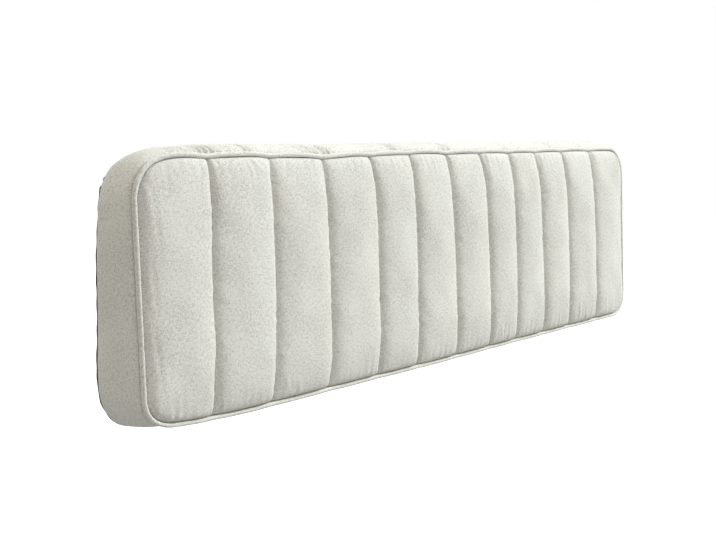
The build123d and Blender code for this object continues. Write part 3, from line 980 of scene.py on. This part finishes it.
# How much flatter the top of the band is near its left corner, in millimetres at places along X
crest_drop = ((-0.87, 0), (-0.845, 1.5), (-0.815, 4.5), (-0.79, 4.5), (-0.76, 2.5), (-0.72, 1), (-0.68, 0))
crest_start = 0.15
crest_fade = 0.015
underside_height = 0.03
band_swell = 0.0042
band_swell_start = 0.0028
band_swell_end = 0.026
band_tuck_depth = 0.0052
band_tuck_width = 0.0022
band_unevenness = 0.0006


def boxing():
    """Band of cloth from the welt over the padded edge to the back, and turned in there."""
    band = band_points(steps=43)
    x, y, z = np.moveaxis(band, -1, 0)
    share = band_shares(len(band))[:, None]
    bulge = np.sin(pi * share)
    across = lengths(band, 0)
    lift = band_swell * (1 - np.exp(-across / band_swell_start)) * np.exp(-((across / band_swell_end) ** 2))
    underneath = np.clip((bottom + underside_height - z) / underside_height, 0, 1)
    lift = lift * (1 - 0.95 * underneath) - band_tuck_depth * np.exp(-across / band_tuck_width)
    lift = lift + band_unevenness * waves(31, 12, 0.06, 0.2)(x + z, y * 2) * bulge
    on_top = np.clip((z - (bottom + height * 0.9)) / (height * 0.08), 0, 1)
    fade = np.clip(share / crease_start, 0, 1) * np.clip((crease_end - share) / crease_fade, crease_rest, 1)
    for spot, way, rise, wide in 0.001 * np.array(top_creases):
        away = (x - spot - way * share) / (crease_widen * wide)
        ridge_and_crease = 0.9 * np.exp(-((away + 1.5) ** 2)) - np.exp(-(away**2))
        lift = lift + crease_raise * rise * on_top * fade * ridge_and_crease
    spots, drops = np.array(crest_drop).T
    high = np.clip((z - crest_start) / crest_fade, 0, 1)
    lift = lift - 0.001 * np.interp(x, spots, drops) * high * bulge**0.7
    points = band + band_normals(band) * lift[..., None]
    reach = end_reach(band_reach)
    points[..., [0, 2]] += reach * share[..., None] ** 2
    rear = []
    under = dust_cover_thickness + cloth_thickness + dust_gap
    for turn in np.linspace(0.25, 1, 4) * pi / 2:
        inset, before = back_edge_radius * (1 - cos(turn)), back_edge_radius * (1 - sin(turn))
        rear.append(plane_points(back_line(inset), 0, -under - before))
    for inset in (0.012, 0.02, return_width - 0.001, return_width):
        rear.append(plane_points(back_line(inset), 0, -under))
    rear = np.array(rear)
    rear[..., [0, 2]] += reach
    depth = across[-1].mean()
    straight = share[:, 0] * depth < depth - back_edge_radius
    points = np.concatenate([points[straight], rear])
    along = lengths(closed(points, 1), 1).mean(0)
    down = closed(lengths(points, 0), 1)
    piece = grid_object("boxing_cloth", points, grid_uv(along, down), loop=True)
    return piece, (float(along[-1]), float(down.max())), thicken(piece, cloth_thickness)


def flattened(ring):
    """A ring of points drawn together to its middle line."""
    flat = ring.copy()
    span = np.abs(ring[:, 0]).max() - np.ptp(ring[:, 2]) / 2
    flat[:, 0] = np.clip(ring[:, 0], -span, span)
    flat[:, 2] = ring[:, 2].mean()
    return flat


def weld(piece, outward=False):
    """Joins points that meet, and turns a closed form's faces outward if told to."""
    mesh = bmesh.new()
    mesh.from_mesh(piece.data)
    bmesh.ops.remove_doubles(mesh, verts=mesh.verts, dist=0.00002)
    bmesh.ops.dissolve_degenerate(mesh, edges=mesh.edges, dist=0.00001)
    if outward:
        bmesh.ops.recalc_face_normals(mesh, faces=mesh.faces)
    mesh.to_mesh(piece.data)
    mesh.free()


def foam_slab():
    """Sheet of foam under the channels, its cut edges slightly rounded and its faces closed at a middle line."""
    front = channel_base + foam_gap
    back = channel_base + core_thickness - foam_gap
    insets = (*slab_insets, foam_inset, foam_inset + foam_rounding)
    levels = (front, front + foam_rounding, (front + back) / 2, back - foam_rounding, back)
    rings = [band_ring(band_points(inset), level) for inset, level in zip(insets, levels)]
    ends = []
    for ring in (rings[0], rings[-1]):
        flat = flattened(ring)
        low, high = ring[ring[:, 2].argmin()], ring[ring[:, 2].argmax()]
        level = (flat[0, 2] - low[2]) / (high[2] - low[2])
        flat[:, 1] = low[1] * (1 - level) + high[1] * level
        ends.append(flat)
    piece = grid_object("foam_slab", np.array([ends[0], *rings, ends[1]]), loop=True)
    weld(piece, outward=True)
    return piece


def edge_foam():
    """Padding that fills the band round the timber frame."""
    near = channel_base + core_thickness + edge_foam_gap
    band = band_points(foam_inset)
    outer_back = plane_points(back_line(edge_foam_back_inset), 0, -edge_foam_back_gap)
    inner_back = plane_points(back_line(edge_padding_thickness - frame_clearance), 0, -edge_foam_back_gap)
    inner_front = inner_back.copy()
    inner_front[:, 1] += (behind_face(inner_back) - near) / face_out[1]
    room = behind_face(outer_back).mean() - near
    outer = [band_ring(band, near + share * room) for share in (0, 0.25, 0.5, 0.75)]
    return grid_object("edge_foam", np.array([*outer, outer_back, inner_back, inner_front]), loop=True, ring=True)


band_cloth, band_cut, band_area = boxing()
place(band_cloth, "upholstery_cloth", cloth, "boxing")
slab = place(foam_slab(), "foam", foam, "foam_core")
rim = place(edge_foam(), "foam", foam, "edge_padding")


def back_sheet():
    """Thin dark cloth over the back, hemmed and drawn a little between its staples."""
    deepest = back_bottom_radius - 0.002
    sag = waves(51, 12, 0.08, 0.3)
    outline = back_line(0.0)
    turn = 2 * pi * lengths(plane_points(back_line(hem_start), 0), 0) / staple_spacing
    rings = []
    for inset in dust_insets:
        inner = back_line(min(inset, deepest))
        if inset > deepest:
            scale_x = (half_width - back_narrow - inset) / np.abs(inner[:, 0]).max()
            centre = (inner[:, 1].max() + inner[:, 1].min()) / 2
            scale_z = (height + back_rise + back_drop - 2 * inset) / np.ptp(inner[:, 1])
            inner = np.column_stack([inner[:, 0] * scale_x, centre + (inner[:, 1] - centre) * scale_z])
        at_edge = np.exp(-inset / dust_edge_reach)
        scallop = dust_scallop * np.cos(turn) * at_edge
        ring = plane_points(inner - (inner - outline) / inset * scallop[:, None], 0)
        hem = hem_height if hem_start < inset < hem_end else 0.0
        fold = dust_fold * np.sin(turn) * at_edge
        ring[:, 1] += dust_level + hem + fold + dust_sag * sag(ring[:, 0], ring[:, 2]) * (1 - at_edge)
        ring[:, [0, 2]] += end_reach(dust_reach, dust_insets[0]) * np.exp((dust_insets[0] - inset) / dust_reach_fade)
        rings.append(ring)
    piece = grid_object("dust_cloth", np.array([*rings, flattened(rings[-1])]), loop=True)
    weld(piece)
    return piece, thicken(piece, dust_cloth_thickness)


dust_cloth, dust_area = back_sheet()
place(dust_cloth, "dust_cover_cloth", cambric, "dust_cover")


def staples():
    """Wire staples through the dust cover's hem, all round."""
    crown, wire, leg = 0.0055, 0.0006, 0.0009
    # The wire's way from leg to leg: places along the crown and out of the cloth
    route = (
        (-crown, -leg), (-crown, -leg * 0.3), (-crown * 0.93, 0), (0, wire * 0.1),
        (crown * 0.93, 0), (crown, -leg * 0.3), (crown, -leg),
    )
    sides = 6
    corners = sides * len(route)
    shape = grid_faces(len(route), sides, loop=True).tolist()
    shape += [range(sides - 1, -1, -1), range(corners - sides, corners)]
    line = closed(plane_points(back_line(staple_inset), 0), 0)
    length = lengths(line, 0)
    count = int(length[-1] / staple_spacing)
    out = np.array((0, 1.0, 0))
    rng = np.random.default_rng(61)
    points, faces = [], []

    def place_at(distance):
        return np.array([np.interp(distance, length, line[:, axis]) for axis in range(3)])

    for number in range(count):
        spot = (number + 0.5 + rng.uniform(-0.08, 0.08)) * length[-1] / count
        centre = place_at(spot)
        ahead = unit(place_at(spot + 0.004) - centre)
        tilt = rng.uniform(-0.22, 0.22)
        bar = ahead * cos(tilt) + np.cross(out, ahead) * sin(tilt)
        flat = np.cross(out, bar)
        faces += [[len(points) + corner for corner in face] for face in shape]
        for along, up in route:
            base = centre + bar * along + out * (up + 0.0006)
            for turn in 2 * pi * np.arange(sides) / sides:
                points.append(base + wire * (flat * cos(turn) + out * 0.5 * sin(turn)))
    return mesh_object("dust_cover_staples", points, faces)


place(staples(), "zinc_screws", zinc)

# The photograph's camera, fitted to its seams, welt and outline
camera_place = (-2.222, -1.5825, 0.253)
camera_yaw = radians(52.47)
camera_pitch = radians(7.29)
camera_roll = radians(1.12)
focal_length = 1200 / 716    # both in pixels of the photograph
sensor_width = 36


def camera():
    """The photograph's viewpoint."""
    level = Vector((sin(camera_yaw), cos(camera_yaw), 0))
    right = Vector((cos(camera_yaw), -sin(camera_yaw), 0))
    up = Vector((0, 0, 1))
    aim = level * cos(camera_pitch) - up * sin(camera_pitch)
    tilted = up * cos(camera_pitch) + level * sin(camera_pitch)
    side = right * cos(camera_roll) + tilted * sin(camera_roll)
    top = tilted * cos(camera_roll) - right * sin(camera_roll)
    data = bpy.data.cameras.new("camera")
    data.sensor_fit = "HORIZONTAL"
    data.sensor_width = sensor_width
    data.lens = focal_length * sensor_width
    eye = new_object("camera", data)
    eye.matrix_world = Matrix.Translation(camera_place) @ Matrix((side, top, -aim)).transposed().to_4x4()
    bpy.context.scene.camera = eye


camera()


def lamp(name, toward, distance, size, power, colour):
    """A square soft lamp in a direction from the headboard's middle."""
    data = bpy.data.lights.new(name, "AREA")
    data.size = size
    data.energy = power
    data.color = colour
    aim = Vector(toward).normalized()
    middle = Vector((0, -0.07, bottom + height / 2))
    turn = aim.to_track_quat("Z", "Y").to_matrix().to_4x4()
    new_object(name, data).matrix_world = Matrix.Translation(middle + aim * distance) @ turn


lamp("key", (0.67, -0.44, 0.62), 15.0, 6.0, 2400, (0.926, 0.977, 1))
lamp("top", (-0.15, 0.5, 0.8), 9.0, 4.0, 180, (1, 0.97, 0.93))


def world():
    """White to the camera, and an even soft light to everything else."""
    room = bpy.data.worlds.new("room")
    room.use_nodes = True
    room.node_tree.nodes.clear()
    bpy.context.scene.world = room
    n = Nodes(room.node_tree)
    soft = n.fill(n.add("Background"), Color=(1.0, 0.945, 0.86, 1), Strength=0.66)
    white = n.fill(n.add("Background"), Color=(1, 1, 1, 1))
    n.put(n.add("OutputWorld"), 0, n.fill(n.add("MixShader"), n.seen(), soft, white))


world()


def floor():
    """Pale floor well below the wall-hung headboard; it keeps a faint shadow."""
    level, reach = bottom - 0.6, 12
    points = [(-reach, -reach, level), (reach, -reach, level), (reach, reach, level), (-reach, reach, level)]
    piece = mesh_object("floor", points, [(0, 1, 2, 3)])
    n = Finish("floor")
    grey, white, glow = (0.32, 0.32, 0.32, 1), (1, 1, 1, 1), n.times(n.seen(), 0.9)
    finish = n.done(Base_Color=grey, Roughness=0.9, Emission_Color=white, Emission_Strength=glow)
    piece.data.materials.append(finish)


floor()

bpy.context.scene.view_settings.view_transform = "Standard"
